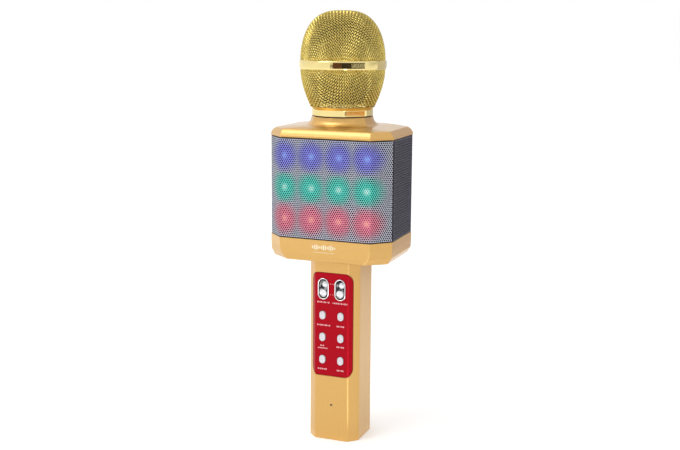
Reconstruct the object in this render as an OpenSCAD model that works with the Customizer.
// Handheld karaoke microphone with a built-in speaker box.
// Z runs along the microphone, from the flat end of the handle (z = 0) to the
// top of the head. The controls face -Y. X is the wide way of the speaker box.

/* [Handle] */
// Half of the handle's width across its flats
grip_half = 16.4; // [16.2:0.1:17]
// Leg of the handle's long corner chamfers
grip_chamfer = 5.6; // [5:0.1:6]
// Height at which the handle meets the speaker box
grip_height = 116.2; // [115.8:0.1:116.4]
// Wall thickness of the handle shells
grip_wall = 1.8; // [1.6:0.1:2]

/* [Controls] */
// Width of the control plate, measured straight across the front
plate_w = 26.4; // [25.6:0.1:26.6]
// Length of the control plate
plate_h = 65.2; // [64:0.1:66]
// Height of the control plate's centre
plate_z = 74.2; // [74:0.1:74.6]
// Width of a key's cap
key_w = 3.9; // [3.5:0.1:4]
// Height of a key's cap
key_h = 5.3; // [4.8:0.1:5.4]
// Distance of each key column from the middle
key_x = 5.95; // [5.6:0.05:6.2]
// Distance of each rocker from the middle
rocker_x = 5.5; // [5.4:0.1:5.6]
// Height of the rockers' pivots
rocker_z = 96.7; // [96.4:0.1:97]

/* [Speaker box] */
// Half of the box's width
box_half_w = 39.4; // [39:0.1:40]
// Half of the box's depth
box_half_d = 29.5; // [29.2:0.1:30]
// Leg of the box's vertical corner chamfers
box_chamfer = 10.65; // [10.4:0.05:11]
// Height where the grilles start
grille_z0 = 129.9; // [129.7:0.1:130]
// Height where the grilles end
grille_z1 = 190.1; // [190:0.1:190.2]
// Thickness of the grille sheet
grille_t = 0.8; // [0.6:0.1:0.8]

/* [Head] */
// Outer radius of the collar that screws onto the neck
collar_r = 18.75; // [18.5:0.05:19]
// Greatest radius of the wire mesh
mesh_r = 25.8; // [25.5:0.1:26]
// Thickness of the wire mesh
mesh_t = 0.8; // [0.6:0.1:0.8]
// Outer radius of the band between the two meshes
band_r = 26.6; // [26.2:0.1:27]
// Lower edge of the band
band_z0 = 230.3; // [230.1:0.1:230.5]
// Upper edge of the band
band_z1 = 235.7; // [235.5:0.1:235.9]
// Height of the whole microphone
total_h = 265.3; // [265:0.1:266]

/* [Speakers] */
// Distance of each speaker's axis from the middle
speaker_x = 18; // [17.8:0.1:18.2]
// Height of the speakers' axes
speaker_z = 160; // [158:0.5:162]
// Radius of the speaker's mounting flange
speaker_r = 17.4; // [17:0.1:17.5]

/* [Hidden] */

$fn = 64;
eps = 0.01;

// Colours
gold = [0.86, 0.68, 0.38];
pale_gold = [0.93, 0.82, 0.48];
mesh_gold = [0.78, 0.66, 0.22];
plate_red = [0.72, 0.08, 0.13];
chrome = [0.78, 0.79, 0.82];
button_white = [0.93, 0.92, 0.93];
silver_blue = [0.60, 0.62, 0.70];
dark_grey = [0.28, 0.27, 0.33];
black = [0.07, 0.07, 0.08];
steel = [0.62, 0.62, 0.64];
board_green = [0.10, 0.34, 0.20];
board_white = [0.88, 0.88, 0.86];
rubber_black = [0.10, 0.10, 0.10];

// Handle interior
spigot_half = 13;
spigot_chamfer = 4.4;
spigot_top = 124;
step_z = 113.2;
end_plate_t = 2;
ledge_t = 1.2;
recess_depth = 1.25;
plate_t = 1.2;
plate_corner = 5.5;
plate_gap = 0.3;
key_gap = 0.2;
shell_screw_x = 10.6;
shell_screw_z = [10, 109];
shell_screw_seat = 11.8;

// Keys and rockers, measured along Y
key_front = -17.2;
key_back = -12.7;
flange_front = -14.5;
flange_back = -13.6;
key_rows = [80.0, 66.1, 51.8];
rocker_w = 5.4;
rocker_h = 11.2;
rocker_front = -17;
rocker_back = -13.6;
pivot_y = -13.2;
pivot_r = 0.8;
pivot_bore_r = 0.85;
bezel_w = 7.2;
bezel_h = 13.5;
bezel_inner_w = 5.8;
bezel_inner_h = 12.1;

// Key board, its switches and its posts
board_front = -9.6;
board_back = -8;
board_half_w = 12.8;
board_z = [19, 104];
board_post_x = 11;
board_post_z = [30, 47.5, 86, 101];
switch_size = 4.4;
switch_top = -11.6;
plunger_top = -12.1;
rocker_switch_dz = 4.3;
lens_z = 22.8;
lens_r = 0.65;

// Battery
cell_r = 9.1;
cell_y = 4;
cell_z = [22, 87];
cradle_wall_r = 10.5;

// Sockets in the handle's end
jack_x = 5.2;
jack_y = -3.3;
jack_r = 1.8;
jack_depth = 12.8;
charge_x = -5.5;
charge_y = -2.25;
card_y = 1.75;

// Speaker box interior
base_bevel_z = 124.5;
base_waist_z = 120;
base_floor = 2.2;
case_screw_x = 31;
case_screw_y = 9;
chassis_floor_z = 124.4;
baffle_y = [21.5, 23.5];
led_x = [-26.2, -8.7, 8.7, 26.2];
led_rows = [141.4, 160.4, 179.5];
led_board_y = [-24, -22.4];
main_board_y = [-17, -15.4];
rail_x = [29, 31.2];

// Cap and neck
cap_z0 = 190.3;
cap_lip = 191.6;
cap_edge_z = 195.2;
cap_edge_inset = 3;
cap_crown_z = 196.5;
neck_r = 18.8;
neck_top = 201.9;
flare_r = 6.2;
thread_r = 16.9;
thread_ridge = 0.25;
thread_pitch = 2;
thread_bore = 14.9;
thread_top = 207;

// Head
washer_t = 0.6;
collar_z0 = neck_top + washer_t;
collar_bore = 17.45;
collar_shelf = 208;
bowl_drop = 6.1;
bowl_power = 1.8;
dome_power = 0.35;
foam_max_r = 23.5;
foam_t = 2.5;
foam_z0 = 212;
foam_shoulder = 240;
foam_top = total_h - 1.4;
foam_inner_top = foam_top - 2.6;
profile_steps = 22;

// Chamfer leg of an octagon whose walls are all moved in by t
function inner_leg(leg, t) = leg - (2 - sqrt(2)) * t;

function octagon_points(w, d, leg_x, leg_y) = [
    [-w + leg_x, -d], [w - leg_x, -d], [w, -d + leg_y], [w, d - leg_y],
    [w - leg_x, d], [-w + leg_x, d], [-w, d - leg_y], [-w, -d + leg_y]
];

function bowl_r(z) =
    mesh_r - bowl_drop * pow((band_z0 - z) / (band_z0 - collar_shelf), bowl_power);

function dome_r(z, inset = 0) =
    let (t = min((z - band_z1) / (total_h - inset - band_z1), 1))
    (mesh_r - inset) * pow(max(1 - t * t, 0), dome_power);

function foam_r(z) = min(z < band_z0 ? bowl_r(z) - 1.4 : dome_r(z, mesh_t) - 0.4, foam_max_r);

function steps(a, b, n) = [for (i = [0 : n]) a + (b - a) * i / n];

// Heights that gather towards the top of a dome, so its crown stays round
function dome_steps(a, b, n) = [for (i = [0 : n]) a + (b - a) * sin(90 * i / n)];

function unit(v) = v / norm(v);

function mirrored(list) = [for (i = [len(list) - 1 : -1 : 0]) list[i]];

// Prism with the box's or the handle's chamfered outline, moved in by t
module octagon_prism(w, d, leg, t, z0, z1) {
    translate([0, 0, z0])
        linear_extrude(z1 - z0)
            polygon(octagon_points(w - t, d - t, inner_leg(leg, t), inner_leg(leg, t)));
}

module grip_prism(t, z0, z1) octagon_prism(grip_half, grip_half, grip_chamfer, t, z0, z1);

module box_prism(t, z0, z1) octagon_prism(box_half_w, box_half_d, box_chamfer, t, z0, z1);

module box_ring(t_outer, t_inner, z0, z1) {
    difference() {
        box_prism(t_outer, z0, z1);
        box_prism(t_inner, z0 - 1, z1 + 1);
    }
}

// Thin octagonal slice, used as a child of a hull
module slice(w, d, leg_x, leg_y, z) {
    translate([0, 0, z])
        linear_extrude(eps)
            polygon(octagon_points(w, d, leg_x, leg_y));
}

// A flat outline drawn in X and Z, thickened from y0 to y1
module front_extrude(y0, y1) {
    translate([0, y1, 0])
        rotate([90, 0, 0])
            linear_extrude(y1 - y0)
                children();
}

module stadium(w, h) {
    square([w, h - w], center = true);
    for (side = [-1, 1]) translate([0, side * (h - w) / 2]) circle(d = w);
}

module rounded_rect(w, h, r) {
    square([w - 2 * r, h], center = true);
    square([w, h - 2 * r], center = true);
    for (i = [-1, 1], j = [-1, 1]) translate([i * (w / 2 - r), j * (h / 2 - r)]) circle(r);
}

module y_cylinder(r, y0, y1) {
    translate([0, y0, 0])
        rotate([-90, 0, 0])
            cylinder(r = r, h = y1 - y0);
}

// Box given by its corner ranges
module span(x, y, z) {
    translate([x[0], y[0], z[0]])
        cube([x[1] - x[0], y[1] - y[0], z[1] - z[0]]);
}

// Wire through a few points: one ring of corners at each point, joined by faces
module wire(points, r) {
    last = len(points) - 1;
    sides = 8;
    corners = [
        for (i = [0 : last])
            let (along = points[min(i + 1, last)] - points[max(i - 1, 0)],
                 u = unit(cross(along, [1, 0, 0])),
                 v = unit(cross(along, u)))
            for (k = [0 : sides - 1])
                points[i] + r * (cos(360 * k / sides) * u + sin(360 * k / sides) * v)
    ];
    walls = [
        for (i = [0 : last - 1], k = [0 : sides - 1])
            let (next = (k + 1) % sides)
            [i * sides + k, (i + 1) * sides + k, (i + 1) * sides + next, i * sides + next]
    ];
    start = [for (k = [0 : sides - 1]) k];
    end = [for (k = [0 : sides - 1]) last * sides + k];
    polyhedron(corners, concat([start], walls, [mirrored(end)]));
}

// Handle -------------------------------------------------------------------

module grip_tube() {
    difference() {
        union() {
            grip_prism(0, 0, grip_height);
            octagon_prism(spigot_half, spigot_half, spigot_chamfer, 0, grip_height - 1, spigot_top);
        }
        grip_prism(grip_wall, -1, end_plate_t);
        grip_prism(grip_wall + ledge_t, 0, step_z);
        grip_prism(grip_wall, end_plate_t + ledge_t, step_z);
        octagon_prism(spigot_half, spigot_half, spigot_chamfer, 1.6, 0, spigot_top + 1);
    }
}

module at_shell_screws() {
    for (side = [-1, 1], z = shell_screw_z) translate([side * shell_screw_x, 0, z]) children();
}

module at_board_posts() {
    for (side = [-1, 1], z = board_post_z) translate([side * board_post_x, 0, z]) children();
}

module at_main_board_screws() {
    for (side = [-1, 1], z = [142, 178]) translate([side * 26.5, 0, z]) children();
}

module at_rockers() {
    for (side = [-1, 1]) translate([side * rocker_x, 0, rocker_z]) children();
}

module at_keys() {
    for (side = [-1, 1], z = key_rows) translate([side * key_x, 0, z]) children();
}

// Holes that the rockers, keys and status lens stand in
module control_openings() {
    at_rockers() front_extrude(-20, -10) stadium(bezel_inner_w, bezel_inner_h);
    at_keys() front_extrude(-20, -10) stadium(key_w + 2 * key_gap, key_h + 2 * key_gap);
}

module plate_outline(margin) {
    translate([0, plate_z])
        rounded_rect(plate_w + 2 * margin, plate_h + 2 * margin, plate_corner + margin);
}

module front_shell() {
    color(gold)
        difference() {
            union() {
                intersection() {
                    grip_tube();
                    span([-20, 20], [-20, 0], [-1, spigot_top + 1]);
                }
                intersection() {
                    union() {
                        at_shell_screws() y_cylinder(2, -16, -0.2);
                        at_board_posts() y_cylinder(1.6, -16, board_front);
                    }
                    grip_prism(grip_wall / 2, 0, step_z);
                }
            }
            difference() {
                intersection() {
                    grip_prism(-1, 0, grip_height);
                    front_extrude(-20, -8) plate_outline(plate_gap);
                }
                grip_prism(recess_depth, 0, grip_height);
            }
            control_openings();
            translate([0, 0, lens_z]) y_cylinder(lens_r + 0.05, -20, -10);
            at_shell_screws() y_cylinder(1.05, -8, 1);
            at_board_posts() y_cylinder(0.75, -13, board_front + 1);
        }
}

module rear_shell() {
    color(gold)
        difference() {
            union() {
                intersection() {
                    grip_tube();
                    span([-20, 20], [0, 20], [-1, spigot_top + 1]);
                }
                intersection() {
                    at_shell_screws() y_cylinder(2.8, 0.2, 16);
                    grip_prism(grip_wall / 2, end_plate_t + eps, step_z);
                }
            }
            at_shell_screws() y_cylinder(1.25, -1, 20);
            at_shell_screws() y_cylinder(2.1, shell_screw_seat, 20);
        }
}

module handle_screws() {
    color(steel)
        at_shell_screws() {
            y_cylinder(1.9, shell_screw_seat, shell_screw_seat + 1.4);
            y_cylinder(1, -6, shell_screw_seat + eps);
        }
}

module end_plate() {
    color(black)
        difference() {
            grip_prism(grip_wall + 0.15, 0, end_plate_t);
            translate([jack_x, jack_y, -1]) cylinder(r = 3, h = 4);
            translate([charge_x, charge_y, -1]) linear_extrude(4) rounded_rect(8.2, 3.2, 1.2);
            translate([0, card_y, -1]) linear_extrude(4) rounded_rect(12, 1.6, 0.4);
        }
}

module control_plate() {
    color(plate_red)
        difference() {
            intersection() {
                grip_prism(0.02, 0, grip_height);
                front_extrude(-20, -8) plate_outline(0);
            }
            grip_prism(plate_t, 0, grip_height);
            at_rockers() front_extrude(-20, -10) stadium(bezel_w + 0.1, bezel_h + 0.1);
            at_keys() front_extrude(-20, -10) stadium(key_w + 2 * key_gap, key_h + 2 * key_gap);
        }
}

module rocker_bezels() {
    color(chrome)
        at_rockers()
            front_extrude(-16.95, -grip_half + recess_depth)
                difference() {
                    stadium(bezel_w, bezel_h);
                    stadium(bezel_inner_w, bezel_inner_h);
                }
}

module rocker(side) {
    color(chrome)
        translate([side * rocker_x, 0, rocker_z]) {
            front_extrude(rocker_front, rocker_back) stadium(rocker_w, rocker_h);
            translate([-rocker_w / 2, pivot_y, 0]) rotate([0, 90, 0]) cylinder(r = 1.4, h = rocker_w);
            translate([-3.85, pivot_y, 0]) rotate([0, 90, 0]) cylinder(r = pivot_r, h = 7.7);
        }
}

// Bracket whose ears carry the rockers' pivot stubs
module rocker_cradle() {
    ear_x = [rocker_x - 3.9, rocker_x - 3, rocker_x + 3, rocker_x + 3.9];
    color(black)
        difference() {
            union() {
                span([-ear_x[3], ear_x[3]], [-11.3, -10.3], [rocker_z - 1.6, rocker_z + 1.6]);
                for (side = [-1, 1], pair = [0, 2])
                    mirror([side < 0 ? 1 : 0, 0, 0])
                        span([ear_x[pair], ear_x[pair + 1]], [-14.5, -11], [rocker_z - 1.6, rocker_z + 1.6]);
            }
            translate([-12, pivot_y, rocker_z]) rotate([0, 90, 0]) cylinder(r = pivot_bore_r, h = 24);
        }
}

module key(side, row) {
    color(button_white)
        translate([side * key_x, 0, key_rows[row]]) {
            front_extrude(key_front, key_back) stadium(key_w, key_h);
            front_extrude(flange_front, flange_back) stadium(key_w + 1.2, key_h + 1.2);
        }
}

module key_board() {
    color(board_green)
        difference() {
            span([-board_half_w, board_half_w], [board_front, board_back], board_z);
            at_board_posts() y_cylinder(0.9, -12, -6);
        }
}

module tact_switch() {
    front_extrude(switch_top, board_front) square(switch_size, center = true);
    y_cylinder(1.1, plunger_top, switch_top + eps);
}

module tact_switches() {
    color(black) {
        at_keys() tact_switch();
        for (dz = [-rocker_switch_dz, rocker_switch_dz]) translate([0, 0, dz]) at_rockers() tact_switch();
    }
}

module status_lens() {
    color(board_white)
        translate([0, 0, lens_z]) {
            y_cylinder(lens_r, -16.3, flange_front + eps);
            y_cylinder(1.6, flange_front, -13.4);
        }
}

module battery_cell() {
    color("royalblue")
        translate([0, cell_y, cell_z[0]]) {
            cylinder(r = cell_r, h = cell_z[1] - cell_z[0] - 1);
            cylinder(r = 3, h = cell_z[1] - cell_z[0]);
        }
}

module battery_cradle() {
    color(black)
        translate([0, cell_y, 0])
            difference() {
                translate([0, 0, cell_z[0] - 3])
                    cylinder(r = cradle_wall_r, h = cell_z[1] - cell_z[0] + 6);
                translate([0, 0, cell_z[0] - 0.1])
                    cylinder(r = cell_r + 0.15, h = cell_z[1] - cell_z[0] + 0.2);
                span([-12, 12], [-12, 0], [cell_z[0] - 0.1, cell_z[1] + 0.1]);
            }
}

module battery_leads() {
    color("firebrick")
        for (side = [-1, 1])
            wire([[side * 3, cell_y, cell_z[1] + 3.3], [side * 3, 3, 95],
                  [side * 3, -5, 97], [side * 3, -7.4, 95]], 0.6);
}

// Sockets --------------------------------------------------------------------

module port_board() {
    color(board_green) span([-7.6, 7.6], [-0.8, 0.8], [2.6, 18.4]);
}

module charge_socket() {
    color(steel)
        translate([charge_x, charge_y, 0.3]) {
            difference() {
                linear_extrude(5.6) rounded_rect(7.6, 2.8, 1);
                translate([0, 0, -1]) linear_extrude(6) rounded_rect(6.9, 2.1, 0.8);
            }
            translate([-2.4, -0.3, 0.8]) cube([4.8, 0.6, 4.4]);
        }
}

module audio_socket() {
    color(black)
        difference() {
            union() {
                translate([jack_x, jack_y, 0.2]) cylinder(r = 2.8, h = 2.3);
                span([jack_x - 3.1, jack_x + 3.1], [-5.8, -0.8], [2.4, 14.2]);
            }
            translate([jack_x, jack_y, 0.2 - eps]) cylinder(r = jack_r, h = jack_depth + eps);
        }
}

module card_socket() {
    color(steel)
        difference() {
            span([-7, 7], [0.8, 2.7], [2.1, 16]);
            span([-5.6, 5.6], [card_y - 0.5, card_y + 0.5], [1, 15]);
        }
}

module board_screws() {
    color(steel) {
        at_board_posts() {
            y_cylinder(1.3, board_back, board_back + 0.9);
            y_cylinder(0.7, -12.6, board_back + eps);
        }
        at_main_board_screws() {
            y_cylinder(1.5, main_board_y[1], main_board_y[1] + 1);
            y_cylinder(0.8, main_board_y[0] - 2, main_board_y[1] + eps);
        }
    }
}

// Speaker box ---------------------------------------------------------------

module at_case_screws() {
    for (i = [-1, 1], j = [-1, 1]) translate([i * case_screw_x, j * case_screw_y, 0]) children();
}

// Lower half of the box, with edges that turn in towards the handle
module base_shell() {
    color(gold)
        difference() {
            hull() {
                slice(box_half_w, box_half_d, box_chamfer, box_chamfer, grille_z0 - 0.2 - eps);
                slice(box_half_w, box_half_d, box_chamfer, box_chamfer, base_bevel_z);
                slice(box_half_w - 0.4, box_half_d - 0.2, 11.3, 10.2, base_waist_z);
                slice(box_half_w - 2.5, box_half_d - 1.2, 12, 9, grip_height);
            }
            box_prism(3, grip_height + base_floor, 140);
            box_prism(2.2, base_bevel_z - 2.5, 140);
            octagon_prism(spigot_half, spigot_half, spigot_chamfer, -0.15, 100, 140);
            at_case_screws() {
                translate([0, 0, 110]) cylinder(r = 1.5, h = 20);
                translate([0, 0, 110]) cylinder(r = 2.8, h = grip_height - 110 + 1.3);
            }
        }
}

// Inner frame that carries the boards, the grilles and the speakers
module chassis() {
    color(black)
        difference() {
            union() {
                box_ring(2.5, 6, 122.4, grille_z0 + 0.4);
                box_ring(1.1, 6, grille_z0 + 0.2, 134);
                box_prism(5, chassis_floor_z, chassis_floor_z + 2);
                at_case_screws() translate([0, 0, 118.6]) cylinder(r = 3, h = 7);
                box_ring(1.1, 6, 186, grille_z1 - 0.2);
                box_ring(2.5, 6, grille_z1 - 0.4, cap_z0 + 2);
                for (i = [-1, 1], j = [-1, 1]) {
                    span([min(i * 28, i * 36), max(i * 28, i * 36)], [min(j * 5, j * 11), max(j * 5, j * 11)],
                         [188, grille_z1 - 0.2]);
                    intersection() {
                        box_ring(2.1, 4.6, 133, 187);
                        span([min(i * 31.2, i * 45), max(i * 31.2, i * 45)], [-40, 40], [133, 187]);
                        span([-45, 45], [min(j * 15, j * 35), max(j * 15, j * 35)], [133, 187]);
                    }
                }
                for (side = [-1, 1])
                    mirror([side < 0 ? 1 : 0, 0, 0])
                        span(rail_x, [-24, -13.5], [133, 187]);
                at_main_board_screws()
                    span([-2.7, 2.7], [main_board_y[0] - 2.5, main_board_y[0]], [-2, 2]);
                span([-33, 33], baffle_y, [133, 187]);
            }
            at_main_board_screws() y_cylinder(0.85, main_board_y[0] - 5, main_board_y[0] + 1);
            translate([0, 0, 120]) cylinder(r = 9, h = 10);
            at_case_screws() {
                translate([0, 0, 118]) cylinder(r = 1.3, h = 10);
                translate([0, 0, 187]) cylinder(r = 1.5, h = 5);
            }
            for (side = [-1, 1])
                translate([side * speaker_x, 0, speaker_z]) {
                    y_cylinder(15.2, 20, 25);
                    y_cylinder(speaker_r + 0.2, 10, baffle_y[0]);
                    at_flange_screws() y_cylinder(0.6, 20, 23.2);
                }
        }
}

module screw_up(seat_z, r_head, h_head, h_shank) {
    translate([0, 0, seat_z - h_head]) cylinder(r = r_head, h = h_head);
    translate([0, 0, seat_z - eps]) cylinder(r = 1.2, h = h_shank);
}

module case_screws() {
    color(steel)
        at_case_screws() {
            screw_up(grip_height + 1.3, 2.3, 1.1, 10);
            screw_up(188, 2.2, 1.2, 5.4);
        }
}

// The front sheet wraps both front corners, and the rear sheet the sides and back
module front_grille() {
    color(silver_blue)
        intersection() {
            box_ring(0, grille_t, grille_z0, grille_z1);
            span([-50, 50], [-50, -box_half_d + box_chamfer - 0.1], [100, 200]);
        }
}

module rear_grille() {
    color(dark_grey)
        intersection() {
            box_ring(0, grille_t, grille_z0, grille_z1);
            span([-50, 50], [-box_half_d + box_chamfer + 0.1, 50], [100, 200]);
        }
}

module led_board() {
    color(board_white) span([-28.8, 28.8], led_board_y, [135.5, 184.5]);
}

module led_lamps() {
    color("ivory")
        for (x = led_x, z = led_rows)
            translate([x, 0, z])
                rotate([90, 0, 0])
                    translate([0, 0, -led_board_y[0]])
                        rotate_extrude()
                            intersection() {
                                circle(2.4);
                                square([3, 3]);
                            }
}

module light_diffuser() {
    color(dark_grey)
        intersection() {
            box_ring(1.2, 1.8, 134.2, 185.8);
            span([-50, 50], [-50, -box_half_d + box_chamfer - 0.4], [100, 200]);
        }
}

module main_board() {
    color(board_green)
        difference() {
            span([-28.8, 28.8], main_board_y, [138, 182]);
            at_main_board_screws() y_cylinder(0.9, -20, -10);
        }
}

module main_board_parts() {
    color(black)
        translate([0, main_board_y[1], 0]) {
            for (x = [-16, -8, 8]) translate([x, 0, 146]) y_cylinder(3.1, 0, 8);
            span([-6, 6], [0, 1.6], [154, 164]);
            span([12, 20], [0, 1.6], [166, 174]);
            span([-20, -13], [0, 2.4], [158, 166]);
        }
}

// Loudspeaker, drawn as a profile of radius and height and turned to face +Y
module speaker_part(side, profile) {
    translate([side * speaker_x, baffle_y[0], speaker_z])
        rotate([-90, 0, 0])
            rotate_extrude()
                polygon(profile);
}

module at_flange_screws() {
    for (a = [45 : 90 : 315]) rotate([0, a, 0]) translate([16.4, 0, 0]) children();
}

module speaker_basket(side) {
    color(steel)
        difference() {
            speaker_part(side, [[15, 0], [speaker_r, 0], [speaker_r, -1.5], [15.4, -1.5], [12.6, -9.8],
                                [6.5, -9.8], [6.5, -9], [12, -9], [14.5, -2.6], [15, -1.6]]);
            translate([side * speaker_x, 0, speaker_z]) at_flange_screws() y_cylinder(0.6, 10, 25);
        }
}

module speaker_magnet(side) {
    color(dark_grey)
        speaker_part(side, [[0, -16.3], [11, -16.3], [11, -9.85], [5.8, -9.85], [5.8, -14],
                            [4.1, -14], [4.1, -7.5], [0, -7.5]]);
}

module speaker_cone(side) {
    color(black)
        speaker_part(side, [[4.7, -10.2], [5.2, -10.2], [5.2, -6.9], [13, -1.7], [13, -1.2],
                            [5.3, -6.3], [0, -4.4], [0, -5], [4.7, -6.7]]);
}

module speaker_surround(side) {
    color(rubber_black)
        speaker_part(side, [[13.05, -1.5], [13.05, -0.9], [13.5, -0.2], [14, 0.1], [14.5, -0.2],
                            [14.95, -0.9], [14.95, -1.5], [14.5, -1.3], [14, -0.9], [13.5, -1.3]]);
}

module speaker_screws() {
    color(steel)
        for (side = [-1, 1])
            translate([side * speaker_x, 0, speaker_z])
                at_flange_screws() {
                    y_cylinder(0.8, 19.2, 20);
                    y_cylinder(0.55, 20 - eps, 23);
                }
}

module handle_leads() {
    color("darkred")
        for (x = [-3, -1, 1, 3])
            wire([[x, -7.4, 102], [x, -6.5, 106], [x, -4, 114], [x, -4, 128],
                  [x, -14, 142], [x, -14.5, 144]], 0.5);
}

module speaker_leads() {
    color("darkslategray")
        for (side = [-1, 1])
            wire([[side * 12, -14.6, 180], [side * 13, -11, 181], [side * 17, 6, 178],
                  [side * speaker_x, 13, speaker_z + 14.5]], 0.6);
}

// Cap and neck ------------------------------------------------------------------

function flare_points() = [
    for (a = [0 : 9 : 81])
        [neck_r + flare_r - flare_r * cos(a), neck_top + 0.4 - flare_r * sin(a)]
];

module top_cap() {
    color(gold)
        difference() {
            union() {
                hull() {
                    slice(box_half_w, box_half_d, box_chamfer, box_chamfer, cap_z0);
                    slice(box_half_w, box_half_d, box_chamfer, box_chamfer, cap_lip);
                    slice(box_half_w - 1.1, box_half_d - 1.1, 9.8, 9.8, 193.8);
                    slice(box_half_w - cap_edge_inset, box_half_d - cap_edge_inset, 8.4, 8.4, cap_edge_z);
                    slice(box_half_w - 12, box_half_d - 6, 8, 6, cap_crown_z - eps);
                }
                rotate_extrude()
                    difference() {
                        polygon(concat([[10, 193]], [[neck_r + flare_r, 193]], mirrored(flare_points()),
                                       [[neck_r, neck_top + 1], [10, neck_top + 1]]));
                        translate([0, neck_top]) square([40, 5]);
                    }
                translate([0, 0, 200]) cylinder(r = thread_r, h = thread_top - 200);
                for (i = [0 : 1])
                    translate([0, 0, neck_top + 1.6 + i * thread_pitch])
                        cylinder(r = thread_r + thread_ridge, h = 0.7);
            }
            box_prism(2.2, 180, cap_z0 + 2.3);
            box_prism(9, 180, 194);
            translate([0, 0, 180]) cylinder(r = thread_bore, h = 40);
            at_case_screws() translate([0, 0, 180]) cylinder(r = 1.25, h = 13.8);
        }
}

// Head ---------------------------------------------------------------------------

module slip_washer() {
    color(rubber_black)
        translate([0, 0, neck_top])
            difference() {
                cylinder(r = collar_r - 0.35, h = washer_t);
                translate([0, 0, -1]) cylinder(r = thread_r + thread_ridge + 0.3, h = 3);
            }
}

module head_collar() {
    color(pale_gold)
        rotate_extrude()
            polygon([[collar_bore, collar_z0], [collar_r, collar_z0], [collar_r, collar_shelf - 1.9],
                     [19.5, collar_shelf - 0.7], [20.2, collar_shelf], [18.6, collar_shelf],
                     [18.6, collar_shelf + 2.5], [collar_bore, collar_shelf + 2.5]]);
}

module mesh_bowl() {
    heights = steps(collar_shelf, band_z0, profile_steps);
    outer = [for (z = heights) [bowl_r(z), z]];
    inner = [for (z = heights) [bowl_r(z) - mesh_t, z]];
    color(mesh_gold) rotate_extrude() polygon(concat(outer, mirrored(inner)));
}

module head_band() {
    color(pale_gold)
        rotate_extrude()
            polygon([[23.8, band_z0 - 2.6], [24.6, band_z0 - 2.6], [24.6, band_z0], [band_r - 0.4, band_z0],
                     [band_r, band_z0 + 0.4], [band_r, band_z1 - 0.4], [band_r - 0.4, band_z1],
                     [24.6, band_z1], [24.6, band_z1 + 2.4], [23.8, band_z1 + 2.4]]);
}

module mesh_dome() {
    outer = [for (z = dome_steps(band_z1, total_h, profile_steps)) [dome_r(z), z]];
    inner = [for (z = dome_steps(band_z1, total_h - mesh_t, profile_steps)) [dome_r(z, mesh_t), z]];
    color(mesh_gold) rotate_extrude() polygon(concat(outer, mirrored(inner)));
}

module foam_liner() {
    side = steps(foam_z0, band_z1, 10);
    outer = [for (z = concat(side, dome_steps(foam_shoulder, foam_top, 14))) [foam_r(z), z]];
    inner = [for (z = concat(side, dome_steps(foam_shoulder, foam_inner_top, 14)))
        [max(foam_r(z + (z > foam_shoulder ? foam_t : 0)) - foam_t, 0), z]];
    crown = [[0, foam_top], [0, foam_inner_top]];
    color(black) rotate_extrude() polygon(concat(outer, crown, mirrored(inner)));
}

// Stem that stands in the neck and holds the capsule inside the head
module capsule_post() {
    color(black)
        rotate_extrude()
            polygon([[2, 200], [14.7, 200], [14.7, 204], [7, 205], [5.5, 207], [5.5, 225], [2, 225]]);
}

module shock_mount() {
    color(rubber_black)
        rotate_extrude()
            polygon([[2, 225], [10, 225], [13, 228], [13, 236], [11, 236], [11, 227.2], [2, 227.2]]);
}

module mic_capsule() {
    color(steel)
        rotate_extrude()
            polygon([[0, 227.2], [10.9, 227.2], [10.9, 238], [9.5, 240.5], [0, 241.2]]);
}

module capsule_leads() {
    color("goldenrod")
        for (side = [-1, 1])
            wire([[side * 0.9, 0, 227], [side * 0.9, 0, 198], [side * 1.5, -9, 188],
                  [side * 1.5, -14.5, 179]], 0.45);
}

front_shell();
rear_shell();
end_plate();
control_plate();
rocker_bezels();
rocker_cradle();
rocker(-1);  // rocker_left
rocker(1);  // rocker_right
key(-1, 0);  // key_top_left
key(1, 0);  // key_top_right
key(-1, 1);  // key_middle_left
key(1, 1);  // key_middle_right
key(-1, 2);  // key_bottom_left
key(1, 2);  // key_bottom_right
key_board();
tact_switches();
status_lens();
battery_cell();
battery_cradle();
battery_leads();
port_board();
charge_socket();
audio_socket();
card_socket();
handle_screws();
board_screws();
base_shell();
chassis();
front_grille();
rear_grille();
led_board();
led_lamps();
light_diffuser();
main_board();
main_board_parts();
speaker_basket(-1);  // speaker_basket_left
speaker_basket(1);  // speaker_basket_right
speaker_magnet(-1);  // speaker_magnet_left
speaker_magnet(1);  // speaker_magnet_right
speaker_cone(-1);  // speaker_cone_left
speaker_cone(1);  // speaker_cone_right
speaker_surround(-1);  // speaker_surround_left
speaker_surround(1);  // speaker_surround_right
speaker_screws();
handle_leads();
speaker_leads();
top_cap();
case_screws();
slip_washer();
head_collar();
mesh_bowl();
head_band();
mesh_dome();
foam_liner();
capsule_post();
shock_mount();
mic_capsule();
capsule_leads();
